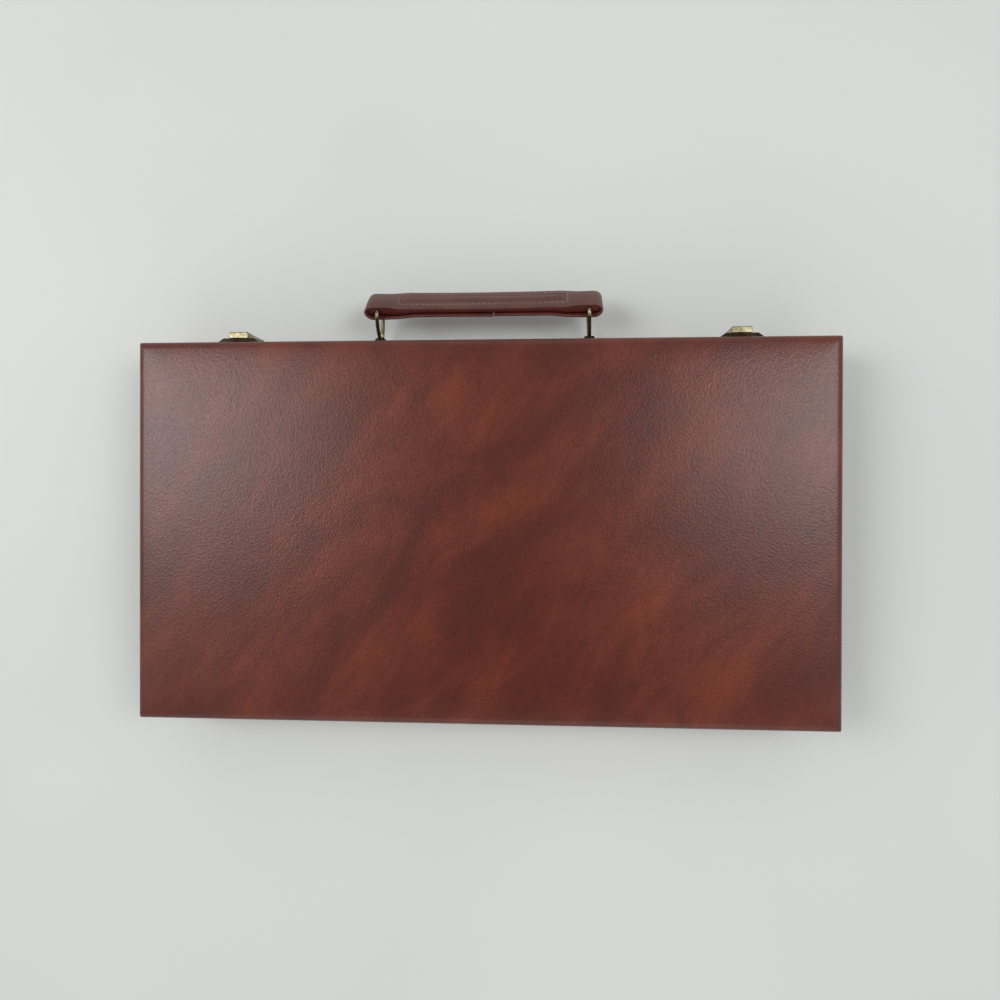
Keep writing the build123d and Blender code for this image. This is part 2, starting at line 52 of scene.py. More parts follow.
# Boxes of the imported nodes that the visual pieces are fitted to
lid_low, lid_high = [Vector(c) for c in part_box("lid_covering")]
_, base_high = [Vector(c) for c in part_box("base_side_covering")]
bottom_low, _ = [Vector(c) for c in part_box("base_bottom_covering")]
_, lining_high = [Vector(c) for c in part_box("base_wall_lining")]
joint = {j["name"]: j for j in frame["joints"]}


# Small helpers for meshes

def new_object(name, mesh, body, material):
    obj = bpy.data.objects.new(name, mesh)
    bpy.context.scene.collection.objects.link(obj)
    mesh.materials.append(material)
    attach(obj, body)
    return obj


def mesh_from(name, verts, faces, smooth=True):
    mesh = bpy.data.meshes.new(name)
    mesh.from_pydata([tuple(v) for v in verts], [], faces)
    build = bmesh.new()
    build.from_mesh(mesh)
    bmesh.ops.recalc_face_normals(build, faces=build.faces)
    build.to_mesh(mesh)
    build.free()
    mesh.polygons.foreach_set("use_smooth", [smooth] * len(mesh.polygons))
    mesh.update()
    return mesh


def spaced(half, edge_steps, cell):
    """Positions from -half to half: fine steps near both ends, even cells between them."""
    inner = half - edge_steps[-1]
    count = max(2, round(2 * inner / cell))
    middle = [-inner + 2 * inner * i / count for i in range(count + 1)]
    low = [-half + s for s in edge_steps[:-1]]
    return low + middle + [-v for v in low[::-1]]


def rounded_plan(x, y, half_x, half_y, radius):
    """A point of a rectangle, with each corner's square drawn in to a quarter disc."""
    core_x, core_y = half_x - radius, half_y - radius
    dx, dy = abs(x) - core_x, abs(y) - core_y
    if dx <= 0 or dy <= 0:
        return x, y
    share = max(dx, dy) / math.hypot(dx, dy)
    return math.copysign(core_x + dx * share, x), math.copysign(core_y + dy * share, y)


panel_cell = 6 * mm
panel_edge_steps = [step * mm for step in (0, 0.3, 0.6, 1.0, 2.5, 4, 7, 11)]
crown_reach = 7 * mm
ripple_height = 0.10 * mm
ripple_scale = 22
ripple_seed = 3.1
roll_steps = 5
wall_shares = (0.2, 0.5, 0.8, 1.0)
rim_turn = 0.7
turn_steps = 3
quarter = math.radians(90)


def wrapped_panel(name, half_x, half_y, z_rim, z_face, edge, corner, crown, flange, sheet):
    """A covered tray: a face with rolled edges, four walls and a rim turned in over the boards."""
    up = 1 if z_face > z_rim else -1
    xs = spaced(half_x, panel_edge_steps, panel_cell)
    ys = spaced(half_y, panel_edge_steps, panel_cell)
    nx, ny = len(xs), len(ys)
    rim = [(i, 0) for i in range(nx)] + [(nx - 1, j) for j in range(1, ny)]
    rim += [(i, ny - 1) for i in range(nx - 2, -1, -1)] + [(0, j) for j in range(ny - 2, 0, -1)]
    verts, faces = [], []

    def place(i, j, inset, z):
        shrink_x = (half_x - inset) / half_x
        shrink_y = (half_y - inset) / half_y
        x, y = rounded_plan(xs[i], ys[j], half_x, half_y, corner)
        verts.append((x * shrink_x, y * shrink_y, z))
        return len(verts) - 1

    grid = {}
    for i in range(nx):
        for j in range(ny):
            near = min(half_x - abs(xs[i]), half_y - abs(ys[j]))
            rise = 1 - math.exp(-near / crown_reach)
            spot = Vector((xs[i] * ripple_scale, ys[j] * ripple_scale, ripple_seed))
            ripple = ripple_height * noise.noise(spot) * rise if crown else 0
            grid[i, j] = place(i, j, edge, z_face - up * crown * (1 - rise) + ripple)
    for i in range(nx - 1):
        for j in range(ny - 1):
            faces.append((grid[i, j], grid[i + 1, j], grid[i + 1, j + 1], grid[i, j + 1]))
    last = [grid[key] for key in rim]

    # Rings below the face: how far each is inset from the walls, and its height
    top_z = z_face - up * crown
    turn = rim_turn * sheet
    levels = []
    for k in range(1, roll_steps + 1):
        angle = quarter * k / roll_steps
        levels.append((edge * (1 - math.sin(angle)), top_z - up * edge * (1 - math.cos(angle))))
    wall_top = top_z - up * edge
    wall_end = z_rim + up * turn
    levels += [(0, wall_top + (wall_end - wall_top) * share) for share in wall_shares]
    for k in range(1, turn_steps + 1):
        angle = quarter * k / turn_steps
        levels.append((turn * (1 - math.cos(angle)), z_rim + up * turn * (1 - math.sin(angle))))
    levels += [(flange, z_rim), (flange, z_rim + up * sheet), (sheet, z_rim + up * sheet)]
    levels += [(sheet, wall_top), (edge, top_z - up * sheet)]
    for inset, z in levels:
        ring = [place(i, j, inset, z) for i, j in rim]
        count = len(ring)
        for k in range(count):
            faces.append((last[k], last[(k + 1) % count], ring[(k + 1) % count], ring[k]))
        last = ring
    faces.append(tuple(last))
    return mesh_from(name, verts, faces)


# Materials

def linear(value):
    value /= 255
    return value / 12.92 if value <= 0.04045 else ((value + 0.055) / 1.055) ** 2.4


def rgb(r, g, b):
    """A colour given as it looks on screen."""
    return (linear(r), linear(g), linear(b), 1.0)


class Shader:
    """A principled material and short names for the nodes that feed it."""

    def __init__(self, name, **constants):
        self.material = bpy.data.materials.new(name)
        self.material.use_nodes = True
        self.tree = self.material.node_tree
        self.bsdf = next(n for n in self.tree.nodes if n.type == "BSDF_PRINCIPLED")
        for key, value in constants.items():
            self.bsdf.inputs[key.replace("_", " ")].default_value = value
        self.where = self.node("ShaderNodeTexCoord").outputs["Object"]

    def node(self, kind, **settings):
        made = self.tree.nodes.new(kind)
        for key, value in settings.items():
            setattr(made, key, value)
        return made

    def link(self, source, target):
        self.tree.links.new(source, target)

    def mapped(self, rotation=(0, 0, 0), scale=(1, 1, 1), location=(0, 0, 0), kind="POINT"):
        made = self.node("ShaderNodeMapping", vector_type=kind)
        made.inputs["Location"].default_value = location
        made.inputs["Rotation"].default_value = rotation
        made.inputs["Scale"].default_value = scale
        self.link(self.where, made.inputs["Vector"])
        return made.outputs["Vector"]

    def stretched(self, angle, length, width):
        """Coordinates with a unit cell of `length` along a direction and `width` across it."""
        return self.mapped((0, 0, math.radians(angle)), (length, width, width), kind="TEXTURE")

    def noise(self, scale, detail=3, roughness=0.5, distortion=0.0, vector=None):
        made = self.node("ShaderNodeTexNoise")
        made.inputs["Scale"].default_value = scale
        made.inputs["Detail"].default_value = detail
        made.inputs["Roughness"].default_value = roughness
        made.inputs["Distortion"].default_value = distortion
        self.link(vector or self.where, made.inputs["Vector"])
        return made.outputs["Fac"]

    def cells(self, scale):
        made = self.node("ShaderNodeTexVoronoi")
        made.inputs["Scale"].default_value = scale
        self.link(self.where, made.inputs["Vector"])
        return made.outputs["Distance"]

    def ramp(self, source, stops):
        made = self.node("ShaderNodeValToRGB")
        elements = made.color_ramp.elements
        while len(elements) < len(stops):
            elements.new(0.5)
        for element, (position, colour) in zip(elements, stops):
            element.position = position
            element.color = colour if not isinstance(colour, (int, float)) else (colour,) * 3 + (1,)
        self.link(source, made.inputs["Fac"])
        return made.outputs["Color"]

    def maths(self, operation, a, b):
        made = self.node("ShaderNodeMath", operation=operation)
        for socket, value in zip(made.inputs, (a, b)):
            if isinstance(value, (int, float)):
                socket.default_value = value
            else:
                self.link(value, socket)
        return made.outputs[0]

    def overlay(self, share, under, over):
        """One colour with another laid over it, at a share of full strength."""
        made = self.node("ShaderNodeMix", data_type="RGBA", blend_type="OVERLAY")
        made.inputs[0].default_value = share
        self.link(under, made.inputs[6])
        self.link(over, made.inputs[7])
        return made.outputs[2]

    def colour(self, source):
        self.link(source, self.bsdf.inputs["Base Color"])

    def rough(self, source, low, high):
        made = self.node("ShaderNodeMapRange")
        made.inputs["To Min"].default_value = low
        made.inputs["To Max"].default_value = high
        self.link(source, made.inputs["Value"])
        self.link(made.outputs[0], self.bsdf.inputs["Roughness"])

    def bump(self, heights):
        """Bump from (height, strength, distance) entries, one laid over the other."""
        last = None
        for source, strength, distance in heights:
            made = self.node("ShaderNodeBump")
            made.inputs["Strength"].default_value = strength
            made.inputs["Distance"].default_value = distance
            self.link(source, made.inputs["Height"])
            if last:
                self.link(last, made.inputs["Normal"])
            last = made.outputs["Normal"]
        self.link(last, self.bsdf.inputs["Normal"])


# Orange-brown clouds on the lid: x and y from its middle, half length and half width, all in
# millimetres, and the angle of the streak in degrees
lid_clouds = [
    (-50, 60, 34, 12, 63), (-18, 76, 18, 9, 60), (59, 88, 40, 10, 27), (132, 82, 24, 9, 32),
    (8, 12, 52, 14, 38), (-80, -16, 40, 11, 30), (-128, -73, 30, 9, 40), (-68, -73, 28, 10, 42),
    (8, -76, 26, 10, 55), (94, -38, 44, 13, 48), (132, -81, 20, 9, 58), (40, 40, 26, 10, 50),
]
cloud_depth = 50 * mm

# Where a cloud's fade starts and ends, as shares of the way from its middle to its outline
cloud_full, cloud_gone = 0.1, 1.5


def cloud_patches(s, clouds):
    """Where the clouds lie: 1 in the middle of each, fading to 0 beyond its outline."""
    patch = None
    for x, y, half_length, half_width, angle in clouds:
        turned = s.mapped((0, 0, math.radians(angle)),
                          (half_length * mm, half_width * mm, cloud_depth),
                          (x * mm, y * mm, lid_high.z), "TEXTURE")
        length = s.node("ShaderNodeVectorMath", operation="LENGTH")
        s.link(turned, length.inputs[0])
        soft = s.node("ShaderNodeMapRange", interpolation_type="SMOOTHSTEP")
        soft.inputs["From Min"].default_value = cloud_gone
        soft.inputs["From Max"].default_value = cloud_full
        s.link(length.outputs["Value"], soft.inputs["Value"])
        near = soft.outputs[0]
        patch = near if patch is None else s.maths("MAXIMUM", patch, near)
    return patch


def leatherette(name, clouds):
    """Mottled oxblood leatherette: cloudy streaks, a pebbled grain and a soft gloss."""
    s = Shader(name, Specular_IOR_Level=0.5)
    streaks = s.noise(1.0, 5, 0.62, 0.5, s.stretched(50, 0.075, 0.040))
    wisps = s.noise(1.0, 7, 0.72, 1.1, s.stretched(58, 0.034, 0.013))
    cloudy = s.maths("ADD", streaks, s.maths("MULTIPLY", s.maths("SUBTRACT", wisps, 0.5), 0.42))
    if clouds:
        torn = s.maths("MULTIPLY", cloud_patches(s, clouds), s.maths("MULTIPLY", wisps, 0.22))
        cloudy = s.maths("SUBTRACT", s.maths("ADD", cloudy, torn), 0.04)
    colour = s.ramp(cloudy, [(0.26, rgb(78, 28, 18)), (0.42, rgb(88, 32, 20)),
                             (0.53, rgb(97, 38, 22)), (0.64, rgb(106, 43, 25)),
                             (0.82, rgb(116, 50, 28))])
    pebble = s.cells(900)
    fine = s.noise(900, 2, 0.5)
    freckled = s.overlay(0.25, colour, s.ramp(fine, [(0.3, 0.25), (0.7, 0.75)]))
    s.colour(s.overlay(0.45, freckled, s.ramp(pebble, [(0.15, 0.60), (0.75, 0.34)])))
    creases = s.noise(700, 4, 0.6)
    s.rough(s.maths("ADD", creases, s.maths("MULTIPLY", pebble, 0.3)), 0.24, 0.38)
    s.bump([(creases, 0.06, 0.00018), (pebble, 0.30, 0.00018)])
    return s.material


def handle_vinyl(name, base, light):
    """Burgundy brown vinyl with a finer grain than the case."""
    s = Shader(name, Specular_IOR_Level=0.5)
    cloud = s.noise(38, 4, 0.6, 0.4)
    s.colour(s.ramp(cloud, [(0.3, base), (0.7, light)]))
    pebble = s.cells(1300)
    creases = s.noise(240, 4, 0.6)
    s.rough(creases, 0.34, 0.52)
    s.bump([(creases, 0.25, 0.0003), (pebble, 0.28, 0.00014)])
    return s.material


def metal(name, bright, dark, rough_low, rough_high, tarnish=0.5):
    """Plated metal with tarnish in clouds and fine rubbing marks."""
    s = Shader(name, Metallic=1.0)
    clouds = s.noise(190, 5, 0.65, 0.6)
    spots = s.noise(1500, 3, 0.6)
    grime = s.maths("ADD", clouds, s.maths("MULTIPLY", spots, 0.25))
    s.colour(s.ramp(grime, [(tarnish - 0.12, bright), (tarnish + 0.32, dark)]))
    s.rough(grime, rough_low, rough_high)
    rub = s.noise(1.0, 3, 0.6, 0, s.mapped((0, 0, 0), (2600, 300, 300)))
    s.bump([(rub, 0.12, 0.00008)])
    return s.material


def plastic(name, colour, shade, rough_low=0.18, rough_high=0.3):
    """Moulded plastic, with a slight change of colour and gloss over its surface."""
    s = Shader(name, Specular_IOR_Level=0.5)
    s.colour(s.ramp(s.noise(30, 3, 0.5), [(0.35, shade), (0.65, colour)]))
    s.rough(s.noise(160, 3, 0.5), rough_low, rough_high)
    s.bump([(s.noise(260, 2, 0.5), 0.06, 0.0002)])
    return s.material


def flocking(name, colour, shade):
    """Matt flock or foam: a cloudy nap and fine fibres."""
    s = Shader(name, Roughness=0.95, Sheen_Weight=0.45, Sheen_Roughness=0.4)
    nap = s.noise(45, 4, 0.6)
    fibre = s.noise(2600, 2, 0.6)
    cloud = s.ramp(nap, [(0.35, shade), (0.65, colour)])
    s.colour(s.overlay(0.5, cloud, s.ramp(fibre, [(0.3, 0.3), (0.7, 0.7)])))
    s.bump([(fibre, 0.5, 0.0003)])
    return s.material


def board(name):
    """Bare chipboard."""
    s = Shader(name, Roughness=0.85)
    chips = s.noise(260, 5, 0.7)
    s.colour(s.ramp(chips, [(0.35, rgb(120, 88, 56)), (0.6, rgb(176, 142, 100))]))
    s.bump([(chips, 0.3, 0.0003)])
    return s.material


mats = {
    "lid": leatherette("lid_leatherette", lid_clouds),
    "base": leatherette("base_leatherette", None),
    "board": board("chipboard"),
    "lining": flocking("burgundy_flock", rgb(104, 24, 30), rgb(74, 15, 22)),
    "foam": flocking("foam_sheet", rgb(222, 214, 190), rgb(198, 188, 160)),
    "aged_brass": metal("aged_brass", rgb(188, 180, 146), rgb(88, 78, 52), 0.2, 0.4, 0.53),
    "dark_brass": metal("dark_brass", rgb(54, 42, 32), rgb(22, 17, 13), 0.26, 0.46, 0.48),
    "spring_steel": metal("spring_steel", rgb(205, 203, 198), rgb(140, 136, 130), 0.2, 0.35, 0.6),
    # The handle's vinyl in two painted copies: the outer face's is lighter and greyer, a painted sheen, and the
    # sides' is darker and redder, painted shade
    "handle_vinyl": handle_vinyl("handle_vinyl", rgb(74, 39, 32), rgb(97, 55, 46)),
    "handle_shaded_side": handle_vinyl("handle_shaded_side_vinyl", rgb(78, 30, 24), rgb(98, 42, 34)),
    "handle_padding": plastic("handle_padding", rgb(44, 30, 26), rgb(34, 22, 20), 0.6, 0.8),
    "thread": plastic("thread", rgb(152, 124, 104), rgb(104, 78, 64), 0.6, 0.8),
    "tile_plastic": plastic("ivory_plastic", rgb(240, 230, 202), rgb(234, 222, 190)),
    "rack_plastic": plastic("rack_plastic", rgb(92, 26, 24), rgb(76, 20, 20), 0.2, 0.34),
    "red_ink": plastic("red_ink", rgb(184, 28, 30), rgb(170, 22, 26), 0.3, 0.4),
}
slot_material = {"leatherette": "base"}
for entry in frame["record"]["subparts"]:
    slot_name = entry["material_slot"]
    chosen = mats[slot_material.get(slot_name, slot_name)]
    obj = frame["nodes"][entry["node"]]
    if not obj.material_slots:
        obj.data.materials.append(chosen)
    for holder in obj.material_slots:
        holder.material = chosen


# The covered lid and base

skin = 0.8 * mm
lining_sheet = 0.7 * mm
turned_in = (base_high.x - lining_high.x) + lining_sheet
corner_radius = 1.0 * mm
lid_edge_radius = 4.0 * mm
lid_crown = 0.7 * mm
base_edge_radius = 1.2 * mm

lid_mesh = wrapped_panel("lid_wrap", lid_high.x, lid_high.y, lid_low.z, lid_high.z,
                         lid_edge_radius, corner_radius, lid_crown, turned_in, skin)
lid_wrap = new_object("lid_wrap", lid_mesh, "lid", mats["lid"])
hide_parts("lid_covering")

base_mesh = wrapped_panel("base_wrap", base_high.x, base_high.y, base_high.z, bottom_low.z,
                          base_edge_radius, corner_radius, 0, turned_in, skin)
base_wrap = new_object("base_wrap", base_mesh, "base", mats["base"])
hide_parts("base_side_covering", "base_bottom_covering")


# The handle, drawn lying straight out from the swing axis and then swung up as it rests. One
# strap lies over a padded body and is folded back under it round both bars.

swing = Vector(joint["handle_swing"]["pos_m"])
strap_low, strap_high = [Vector(c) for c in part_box("handle_strap")]
raised = math.radians(40)
handle_middle = (strap_low.x + strap_high.x) / 2
handle_half = (strap_high.x - strap_low.x) / 2
place_handle = (Matrix.Translation((handle_middle, swing.y, swing.z))
                @ Matrix.Rotation(raised, 4, "X"))
loop_low, loop_high = 13.7 * mm, 23.3 * mm
loop_radius = (loop_high - loop_low) / 2
loop_middle = (loop_low + loop_high) / 2
loop_centre = handle_half - loop_radius
loop_recess, recess_start, recess_end = 1.1 * mm, 46 * mm, 57 * mm
grip_half, loop_half = 10.0 * mm, 8.4 * mm
taper_start, taper_end = 42 * mm, 54 * mm
grip_dip = 0.8 * mm
grip_low, drop_start, drop_end = 15.8 * mm, 36 * mm, 55 * mm
ply, under_ply_share = 1.5 * mm, 0.9
pad_half_length, pad_half_width = 45.7 * mm, 3.2 * mm
pad_rise, pad_fade = 0.55 * mm, 2.2 * mm
face_crown = 0.9 * mm
groove_depth, groove_width = 0.45 * mm, 0.42 * mm
stitch_line = 6.2 * mm
stitch_depth, stitch_channel = 0.14 * mm, 0.5 * mm
stitch_end, stitch_fade = 1.5 * mm, 4 * mm
edge_depth, edge_width = 0.5 * mm, 0.6 * mm
under_edge_depth, under_edge_width = 0.3 * mm, 0.35 * mm
inner_edge_depth = 0.25 * mm
strap_joint = 6.0 * mm
strap_joint_gap = 0.5 * mm
joint_proud, joint_fade = 0.45 * mm, 14 * mm
strap_step, slope_step = 1.0 * mm, 0.1 * mm
under_count, turn_count, body_count = 48, 16, 130


def smooth_step(low, high, value):
    t = min(max((value - low) / (high - low), 0), 1)
    return t * t * (3 - 2 * t)


def half_width(x):
    """Half the strap's width: a little narrower at the loops than at the grip."""
    return grip_half + (loop_half - grip_half) * smooth_step(taper_start, taper_end, abs(x))


def top_line(x):
    """The outer face along the handle: a little lower at mid-length than at the loops."""
    return loop_high - grip_dip * (1 - min(abs(x) / loop_centre, 1) ** 2)


def low_line(x):
    """The underside of the strap: it drops where the strap goes round a bar."""
    return grip_low + (loop_low - grip_low) * smooth_step(drop_start, drop_end, abs(x))


def panel_relief(x, w):
    """How far the outer face lies below its highest line: crown, padded middle, groove, edge."""
    half = half_width(x)
    outside = max(abs(w) - pad_half_width, abs(x) - pad_half_length)
    crown = face_crown * (abs(w) / half) ** 2
    pad = pad_rise * smooth_step(-pad_fade, 0, outside)
    groove = groove_depth * math.exp(-(outside / groove_width) ** 2)
    channel = stitch_depth * math.exp(-((abs(w) - stitch_line) / stitch_channel) ** 2)
    within = 1 - smooth_step(pad_half_length + stitch_end, pad_half_length + stitch_fade, abs(x))
    edge = edge_depth * smooth_step(half - edge_width, half, abs(w)) ** 2
    return crown + pad + groove + channel * within + edge


# Extra places in millimetres: along the strap, beside the end of the pad's groove
groove_places = [-0.6, -0.3, 0, 0.3, 0.6]


def strap_line():
    """The folded strap's outer line: x, v, its normal in x and v, and how much relief it shows."""
    line = []
    top = [-loop_centre + strap_step * k for k in range(int(2 * loop_centre / strap_step) + 1)]
    for side in (-1, 1):
        top += [side * (pad_half_length + offset * mm) for offset in groove_places]
    top.sort()
    for side in (-1, 1):
        inner = strap_joint + side * strap_joint_gap / 2
        under = []
        for k in range(under_count + 1):
            x = inner + (side * loop_centre - inner) * k / under_count
            proud = joint_proud * math.exp(-(abs(x - inner) / joint_fade)) if side < 0 else 0
            slope = (low_line(x + slope_step) - low_line(x - slope_step)) / (2 * slope_step)
            size = math.hypot(slope, 1)
            under.append((x, low_line(x) - proud, slope / size, -1 / size, 0))
        turn = []
        for k in range(1, turn_count):
            angle = math.radians(-90 + 180 * k / turn_count)
            x = side * (loop_centre + loop_radius * math.cos(angle))
            v = loop_middle + loop_radius * math.sin(angle)
            turn.append((x, v, side * math.cos(angle), math.sin(angle), max(math.sin(angle), 0)))
        if side < 0:
            line += under + turn
            line += [(x, top_line(x), 0, 1, 1) for x in top]
        else:
            line += turn[::-1] + under[::-1]
    return line


# Places in millimetres across half the strap: from its middle, over the pad's groove and the
# stitches, then two that slide with its width, and the last ones measured from its edge
fixed_places = [0, 0.8, 1.6, 2.2, 2.6, 2.85, 3.05, 3.2, 3.35, 3.55, 3.8, 4.4, 5.2, 5.7, 6.0, 6.2,
                6.4, 6.7]
sliding_places = [7.4, 8.4]
edge_places = [0.6, 0.3, 0.12, 0]

# Places across the strap's inner face, as shares of its half width
inner_places = [1, 0.96, 0.5, 0, -0.5, -0.96, -1]


def across(half):
    """Places across the strap, closer together at the pad's groove, the stitches and the edge."""
    right = [v * mm for v in fixed_places] + [v * mm * half / grip_half for v in sliding_places]
    right += [half - v * mm for v in edge_places]
    right = sorted(right)
    return [-v for v in right[:0:-1]] + right


def ring_faces(rings):
    """Faces between each ring of points and the next, and one over each end."""
    faces = []
    for a, b in zip(rings, rings[1:]):
        size = len(a)
        for k in range(size):
            faces.append((a[k], a[(k + 1) % size], b[(k + 1) % size], b[k]))
    return faces + [tuple(rings[0]), tuple(rings[-1])]


def strap_mesh():
    """The strap as one folded sheet, its inner face in the handle's side vinyl, which is painted darker and redder
    than the outer face as shade.
    """
    verts, rings = [], []
    for x, v, nx, nv, relief in strap_line():
        half = half_width(x)
        outer, inner = [], []
        for w in across(half):
            rounding = under_edge_depth * smooth_step(half - under_edge_width, half, abs(w))
            depth = panel_relief(x, w) * relief + rounding * (1 - relief)
            outer.append((x - nx * depth, v - nv * depth, w))
        thick = ply * (under_ply_share + (1 - under_ply_share) * relief)
        for share in inner_places:
            at_edge = inner_edge_depth if abs(share) == 1 else 0
            depth = thick + face_crown * relief - at_edge
            inner.append((x - nx * depth, v - nv * depth, share * half))
        ring = []
        for px, pv, w in outer + inner:
            ring.append(len(verts))
            verts.append(place_handle @ Vector((px, pv, w)))
        rings.append(ring)
    mesh = mesh_from("handle_strap_wrap", verts, ring_faces(rings))
    around, outer_count = len(rings[0]), len(across(grip_half))
    for face in mesh.polygons:
        face.material_index = int(face.index % around >= outer_count)
    return mesh


# One side of the body's section, as shares of its half width and of its height
body_side = [(0.25, 0), (0.7, 0.04), (0.86, 0.12), (0.925, 0.25), (0.955, 0.42), (0.97, 0.62),
             (0.972, 0.82), (0.965, 0.94), (0.94, 1.0)]
body_clearance = 0.05 * mm
body_end = 0.85


def body_mesh():
    """The padded body between the strap's two plies; its sides tuck in towards the lower ply."""
    verts, rings = [], []
    reach = loop_centre + body_end * loop_radius
    for k in range(body_count + 1):
        x = -reach + 2 * reach * k / body_count
        half = half_width(x) - loop_recess * smooth_step(recess_start, recess_end, abs(x))
        over = max(abs(x) - loop_centre, 0) / loop_radius
        rise = loop_radius * math.sqrt(1 - over * over)
        top = (loop_middle + rise if over else top_line(x)) - ply
        low = (loop_middle - rise if over else low_line(x)) + ply + body_clearance
        height = top - low
        section = [(half * share, low + height * level) for share, level in body_side]
        section += [(-w, v) for w, v in section[::-1]]
        ring = []
        for w, v in section:
            ring.append(len(verts))
            verts.append(place_handle @ Vector((x, v, w)))
        rings.append(ring)
    return mesh_from("handle_body", verts, ring_faces(rings))


# The strap's outer face takes the lighter vinyl of painted sheen; its inner face and the body's sides take the
# darker vinyl of painted shade
strap_piece = new_object("handle_strap_wrap", strap_mesh(), "handle", mats["handle_vinyl"])
strap_piece.data.materials.append(mats["handle_shaded_side"])
body_piece = new_object("handle_body", body_mesh(), "handle", mats["handle_shaded_side"])
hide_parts("handle_strap")
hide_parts("handle_core")


# A stitch's profile, as shares of its length and of its radius
stitch_profile = [(0.0, 0.25), (0.06, 0.75), (0.2, 1.0), (0.8, 1.0), (0.94, 0.75), (1.0, 0.25)]
stitch_sides = 8
stitch_radius = 0.26 * mm
stitch_proud = 0.08 * mm
stitch_pitch, stitch_gap, stitch_start = 3.1 * mm, 0.9 * mm, 0.3 * mm
cross_start = 0.2
stitch_reach = pad_half_length + 1.3 * mm


def stitch(verts, faces, start, end):
    """A stitch: a short rounded rod between two points."""
    axis = (end - start).normalized()
    side = axis.orthogonal().normalized()
    other = axis.cross(side)
    length = (end - start).length
    rings = []
    for share, width in stitch_profile:
        centre = start + axis * length * share
        ring = []
        for k in range(stitch_sides):
            angle = 2 * math.pi * k / stitch_sides
            out = side * math.cos(angle) + other * math.sin(angle)
            ring.append(len(verts))
            verts.append(centre + out * stitch_radius * width)
        rings.append(ring)
    faces += ring_faces(rings)


def panel_point(x, w):
    """A point of a stitch's line, just proud of the handle's outer face."""
    return Vector((x, top_line(x) - panel_relief(x, w) + stitch_proud, w))


def stitches():
    """Rows of stitches along both borders of the handle's outer face and across their ends."""
    verts, faces = [], []
    length = stitch_pitch - stitch_gap
    count = int(2 * stitch_reach / stitch_pitch)
    for side in (-1, 1):
        for k in range(count):
            x = -stitch_reach + k * stitch_pitch + stitch_start
            stitch(verts, faces, *[panel_point(v, side * stitch_line) for v in (x, x + length)])
    cross = int(2 * stitch_line / stitch_pitch)
    for side in (-1, 1):
        for k in range(cross):
            w = -stitch_line + (k + cross_start) * 2 * stitch_line / cross
            stitch(verts, faces, *[panel_point(side * stitch_reach, v) for v in (w, w + length)])
    verts = [place_handle @ v for v in verts]
    return mesh_from("handle_stitches", verts, faces)


new_object("handle_stitches", stitches(), "handle", mats["thread"])


# Numerals on the top layer of tiles

numeral_size, numeral_weight = 15 * mm, 0.2 * mm
ink_half = 0.03 * mm
ink_lift = 0.02 * mm
dot_radius, dot_bevel = 3.2 * mm, 0.1 * mm
numeral_up, dot_down = 6 * mm, 9 * mm
tile_width, tile_length, tile_gap = 24.0 * mm, 36.0 * mm, 0.5 * mm
highest_number = 13


def numeral(number, place):
    """A plain number, as a mesh at its place."""
    curve = bpy.data.curves.new(f"numeral_{number}", "FONT")
    curve.body = str(number)
    curve.align_x, curve.align_y = "CENTER", "CENTER"
    curve.size, curve.offset, curve.extrude = numeral_size, numeral_weight, ink_half
    curve.resolution_u = 4
    text = bpy.data.objects.new(curve.name, curve)
    bpy.context.scene.collection.objects.link(text)
    text.location = place
    bpy.context.view_layer.update()
    graph = bpy.context.evaluated_depsgraph_get()
    mesh = bpy.data.meshes.new_from_object(text.evaluated_get(graph))
    mesh.transform(text.matrix_world)
    bpy.data.objects.remove(text)
    return mesh


def dot(place):
    """A round dot, as a mesh at its place."""
    build = bmesh.new()
    bmesh.ops.create_cone(build, cap_ends=True, segments=24, radius1=dot_radius,
                          radius2=dot_radius - dot_bevel, depth=2 * ink_half,
                          matrix=Matrix.Translation(place))
    mesh = bpy.data.meshes.new("dot")
    build.to_mesh(mesh)
    build.free()
    return mesh


def tile_numerals():
    """Plain numbers 1 to 13 on each row of the top layer, with a dot below each."""
    low, high = [Vector(c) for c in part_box("tiles_red")]
    column_pitch, row_pitch = tile_width + tile_gap, tile_length + tile_gap
    first_x = low.x + tile_width / 2
    z = high.z + ink_lift
    meshes = []
    for row in (1, -1):
        for column in range(highest_number):
            x, y = first_x + column * column_pitch, row * row_pitch / 2
            meshes.append(numeral(column + 1, (x, y + numeral_up, z)))
            meshes.append(dot((x, y - dot_down, z)))
    return meshes


def join(name, meshes):
    """One mesh from several."""
    build = bmesh.new()
    for mesh in meshes:
        build.from_mesh(mesh)
        bpy.data.meshes.remove(mesh)
    joined = bpy.data.meshes.new(name)
    build.to_mesh(joined)
    build.free()
    return joined


new_object("tile_numerals", join("tile_numerals", tile_numerals()), "base", mats["red_ink"])


# Floor, lights and camera

floor_half = 4
floor_drop = 0.05 * mm


def stage():
    """A pale floor under the case, its colour painted a little darker and lighter with its fold bumps: painted
    shade of the folds.
    """
    s = Shader("pale_cloth", Roughness=0.9)
    fold_bumps_and_shade = s.noise(2.2, 3, 0.5, 0.3)
    # Painted shade: the cloth is darker and lighter along the same noise that bumps its folds
    s.colour(s.ramp(fold_bumps_and_shade, [(0.3, rgb(208, 211, 208)), (0.7, rgb(218, 219, 215))]))
    weave = s.noise(700, 2, 0.5)
    s.bump([(fold_bumps_and_shade, 0.12, 0.02), (weave, 0.08, 0.0003)])
    corners = [(floor_half * x, floor_half * y, 0) for x, y in ((-1, -1), (1, -1), (1, 1), (-1, 1))]
    mesh = mesh_from("floor", corners, [(0, 1, 2, 3)])
    mesh.materials.append(s.material)
    floor = bpy.data.objects.new("floor", mesh)
    bpy.context.scene.collection.objects.link(floor)
    floor.location.z = -floor_drop


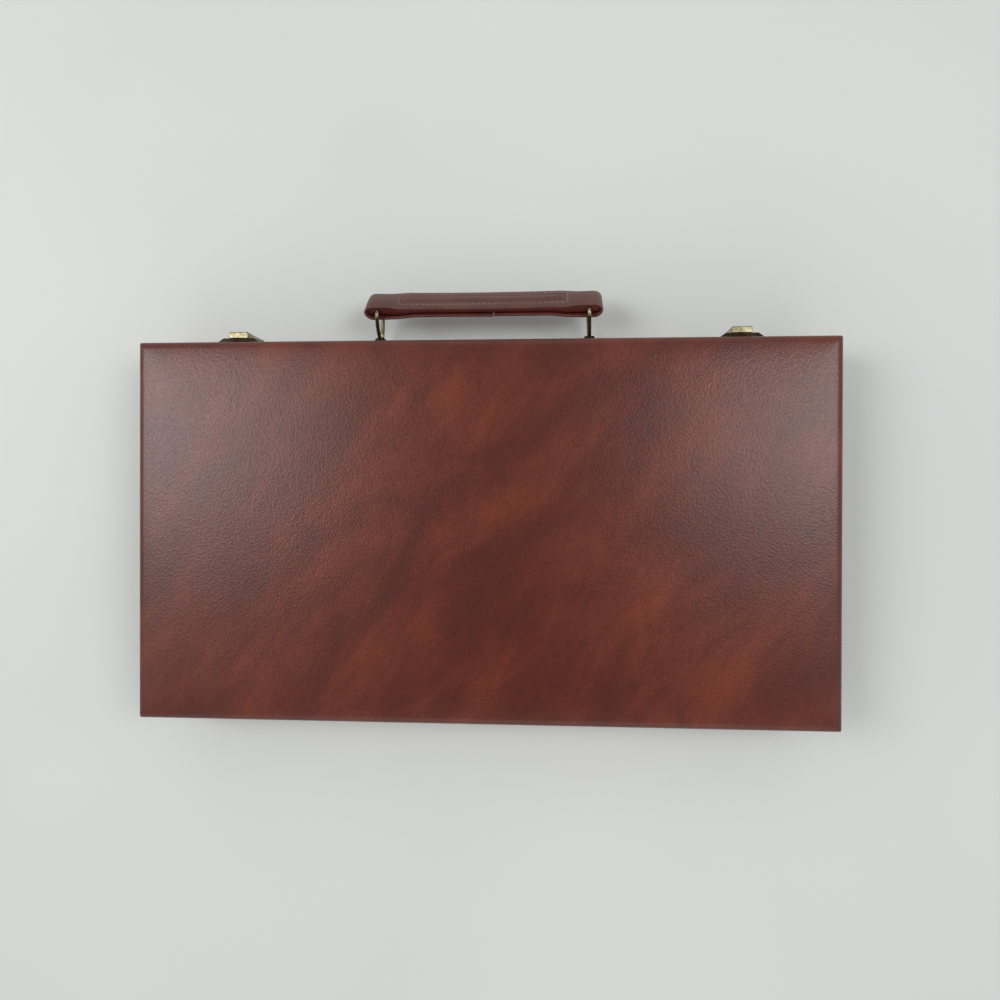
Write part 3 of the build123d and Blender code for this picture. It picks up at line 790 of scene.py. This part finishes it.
# Each lamp's name, place, target, width, height and power in watts: two windows beside the
# camera, and dim fills before and behind
lamps = [
    ("left_window", (-0.82, 0.20, 1.12), (0, 0.02, 0.03), 0.50, 0.66, 6.6),
    ("right_window", (0.68, 0.18, 1.18), (0, 0.02, 0.03), 0.40, 0.62, 5.2),
    ("rear_fill", (0.1, -1.3, 0.9), (0, 0, 0.03), 1.8, 0.9, 2.2),
    ("front_fill", (0.0, 1.25, 0.8), (0, 0.1, 0.0), 2.0, 0.8, 1.3),
]

# The sky's strength around and overhead, and the heights of a direction between which it fades
sky_colour = (0.96, 0.98, 1.0, 1)
sky_around, sky_overhead = 0.6, 0.07
fade_low, fade_high = 0.8, 0.97


def area_light(name, place, target, size_x, size_y, power):
    """A rectangular lamp turned towards its target."""
    light = bpy.data.lights.new(name, "AREA")
    light.shape = "RECTANGLE"
    light.size, light.size_y, light.energy = size_x, size_y, power
    obj = bpy.data.objects.new(name, light)
    bpy.context.scene.collection.objects.link(obj)
    obj.location = place
    aim = Vector(target) - Vector(place)
    obj.rotation_euler = aim.to_track_quat("-Z", "Y").to_euler()


def sky():
    """A pale sky, dark overhead."""
    world = bpy.data.worlds.new("studio")
    bpy.context.scene.world = world
    world.use_nodes = True
    tree = world.node_tree
    background = tree.nodes["Background"]
    background.inputs["Color"].default_value = sky_colour
    direction = tree.nodes.new("ShaderNodeTexCoord")
    split = tree.nodes.new("ShaderNodeSeparateXYZ")
    fade = tree.nodes.new("ShaderNodeMapRange")
    fade.interpolation_type = "SMOOTHSTEP"
    fade.inputs["From Min"].default_value = fade_low
    fade.inputs["From Max"].default_value = fade_high
    fade.inputs["To Min"].default_value = sky_around
    fade.inputs["To Max"].default_value = sky_overhead
    tree.links.new(direction.outputs["Generated"], split.inputs["Vector"])
    tree.links.new(split.outputs["Z"], fade.inputs["Value"])
    tree.links.new(fade.outputs["Result"], background.inputs["Strength"])


camera_lens, camera_sensor = 27.04, 36.0
camera_forward = (-0.0626, -0.004, -0.998)
camera_up = (-0.0027, 1.0, -0.0038)
camera_x, camera_y, camera_above_lid = 0.0356, 0.0189, 0.3999


def camera():
    """The photograph's view: nearly straight down, a little to the right of the middle."""
    forward = Vector(camera_forward).normalized()
    right = forward.cross(Vector(camera_up)).normalized()
    up = right.cross(forward)
    data = bpy.data.cameras.new("camera")
    data.sensor_width = camera_sensor
    data.lens = camera_lens
    data.clip_start = 0.01
    obj = bpy.data.objects.new("camera", data)
    bpy.context.scene.collection.objects.link(obj)
    turn = Matrix((right, up, -forward)).transposed().to_4x4()
    place = (camera_x, camera_y, lid_high.z + camera_above_lid)
    obj.matrix_world = Matrix.Translation(place) @ turn
    bpy.context.scene.camera = obj


stage()
for lamp in lamps:
    area_light(*lamp)
sky()
camera()
bpy.context.scene.view_settings.view_transform = "Standard"
